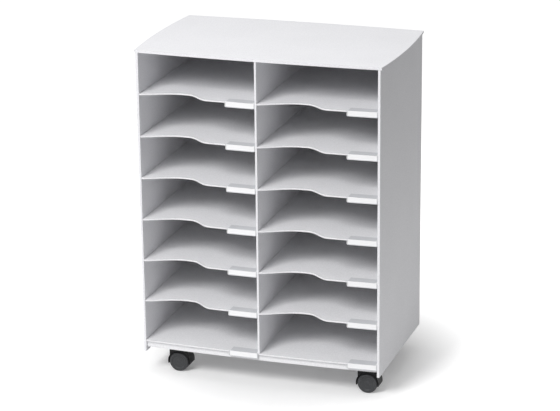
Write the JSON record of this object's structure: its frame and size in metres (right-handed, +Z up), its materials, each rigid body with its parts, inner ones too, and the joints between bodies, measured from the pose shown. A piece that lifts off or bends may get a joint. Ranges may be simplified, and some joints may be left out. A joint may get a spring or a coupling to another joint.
{
  "type": "mobile file sorter",
  "caption": "Mobile file sorter: open-fronted thin plastic cabinet with columns of fixed shelves, scooped finger recesses, clip-on label holders and swivelling twin-wheel castors.",
  "frame": {"origin": "on the floor, under the middle of the sorter's box", "axes": "+Z up, open front towards -Y, +X to the right seen from the front"},
  "size_m": [0.5472, 0.34, 0.7155],
  "materials": {
    "shell_plastic": "fine matte",
    "shelf_plastic": "fine matte",
    "rail_plastic": "fine matte",
    "holder_plastic": "fine matte",
    "card": "uncoated",
    "castor_plastic": "satin",
    "wheel_plastic": "satin",
    "steel": "zinc plated"
  },
  "bodies": {
    "cabinet": {"left_side_panel": "shell_plastic", "right_side_panel": "shell_plastic", "centre_divider": "shell_plastic", "top_panel": "shell_plastic", "back_panel": "shell_plastic", "base_panel": "shelf_plastic", "front_rail": "rail_plastic", "rear_rail": "rail_plastic", "shelf_left_1": "shelf_plastic", "shelf_left_2": "shelf_plastic", "shelf_left_3": "shelf_plastic", "shelf_left_4": "shelf_plastic", "shelf_left_5": "shelf_plastic", "shelf_left_6": "shelf_plastic", "shelf_right_1": "shelf_plastic", "shelf_right_2": "shelf_plastic", "shelf_right_3": "shelf_plastic", "shelf_right_4": "shelf_plastic", "shelf_right_5": "shelf_plastic", "shelf_right_6": "shelf_plastic", "label_holder_left_1": "holder_plastic", "label_holder_left_2": "holder_plastic", "label_holder_left_3": "holder_plastic", "label_holder_left_4": "holder_plastic", "label_holder_left_5": "holder_plastic", "label_holder_left_6": "holder_plastic", "label_holder_left_7": "holder_plastic", "label_holder_right_1": "holder_plastic", "label_holder_right_2": "holder_plastic", "label_holder_right_3": "holder_plastic", "label_holder_right_4": "holder_plastic", "label_holder_right_5": "holder_plastic", "label_holder_right_6": "holder_plastic", "label_holder_right_7": "holder_plastic", "castor_socket_front_left": "rail_plastic", "castor_socket_front_right": "rail_plastic", "castor_socket_rear_left": "rail_plastic", "castor_socket_rear_right": "rail_plastic", "label_cards": "card", "castor_pins": "steel", "socket_screws": "steel", "panel_pegs": "shell_plastic"},
    "castor_front_left": {"castor_front_left_hood": "castor_plastic", "castor_front_left_axle": "steel"},
    "front_left_wheel_a": {"castor_front_left_wheel_a": "wheel_plastic"},
    "front_left_wheel_b": {"castor_front_left_wheel_b": "wheel_plastic"},
    "castor_front_right": {"castor_front_right_hood": "castor_plastic", "castor_front_right_axle": "steel"},
    "front_right_wheel_a": {"castor_front_right_wheel_a": "wheel_plastic"},
    "front_right_wheel_b": {"castor_front_right_wheel_b": "wheel_plastic"},
    "castor_rear_left": {"castor_rear_left_hood": "castor_plastic", "castor_rear_left_axle": "steel"},
    "rear_left_wheel_a": {"castor_rear_left_wheel_a": "wheel_plastic"},
    "rear_left_wheel_b": {"castor_rear_left_wheel_b": "wheel_plastic"},
    "castor_rear_right": {"castor_rear_right_hood": "castor_plastic", "castor_rear_right_axle": "steel"},
    "rear_right_wheel_a": {"castor_rear_right_wheel_a": "wheel_plastic"},
    "rear_right_wheel_b": {"castor_rear_right_wheel_b": "wheel_plastic"}
  },
  "joints": [
    {"name": "front_left_swivel", "type": "hinge", "parent": "cabinet", "child": "castor_front_left", "pos_m": [-0.21105, -0.11645, 0.058], "axis": [0, 0, 1], "continuous": true},
    {"name": "front_left_wheel_a_spin", "type": "hinge", "parent": "castor_front_left", "child": "front_left_wheel_a", "pos_m": [-0.19505, -0.12705, 0.0215], "axis": [0, 1, 0], "continuous": true},
    {"name": "front_left_wheel_b_spin", "type": "hinge", "parent": "castor_front_left", "child": "front_left_wheel_b", "pos_m": [-0.19505, -0.10585, 0.0215], "axis": [0, 1, 0], "continuous": true},
    {"name": "front_right_swivel", "type": "hinge", "parent": "cabinet", "child": "castor_front_right", "pos_m": [0.21105, -0.11645, 0.058], "axis": [0, 0, 1], "continuous": true},
    {"name": "front_right_wheel_a_spin", "type": "hinge", "parent": "castor_front_right", "child": "front_right_wheel_a", "pos_m": [0.22705, -0.12705, 0.0215], "axis": [0, 1, 0], "continuous": true},
    {"name": "front_right_wheel_b_spin", "type": "hinge", "parent": "castor_front_right", "child": "front_right_wheel_b", "pos_m": [0.22705, -0.10585, 0.0215], "axis": [0, 1, 0], "continuous": true},
    {"name": "rear_left_swivel", "type": "hinge", "parent": "cabinet", "child": "castor_rear_left", "pos_m": [-0.21105, 0.11645, 0.058], "axis": [0, 0, 1], "continuous": true},
    {"name": "rear_left_wheel_a_spin", "type": "hinge", "parent": "castor_rear_left", "child": "rear_left_wheel_a", "pos_m": [-0.22705, 0.12705, 0.0215], "axis": [0, 1, 0], "continuous": true},
    {"name": "rear_left_wheel_b_spin", "type": "hinge", "parent": "castor_rear_left", "child": "rear_left_wheel_b", "pos_m": [-0.22705, 0.10585, 0.0215], "axis": [0, 1, 0], "continuous": true},
    {"name": "rear_right_swivel", "type": "hinge", "parent": "cabinet", "child": "castor_rear_right", "pos_m": [0.21105, 0.11645, 0.058], "axis": [0, 0, 1], "continuous": true},
    {"name": "rear_right_wheel_a_spin", "type": "hinge", "parent": "castor_rear_right", "child": "rear_right_wheel_a", "pos_m": [0.19505, 0.12705, 0.0215], "axis": [0, 1, 0], "continuous": true},
    {"name": "rear_right_wheel_b_spin", "type": "hinge", "parent": "castor_rear_right", "child": "rear_right_wheel_b", "pos_m": [0.19505, 0.10585, 0.0215], "axis": [0, 1, 0], "continuous": true}
  ]
}
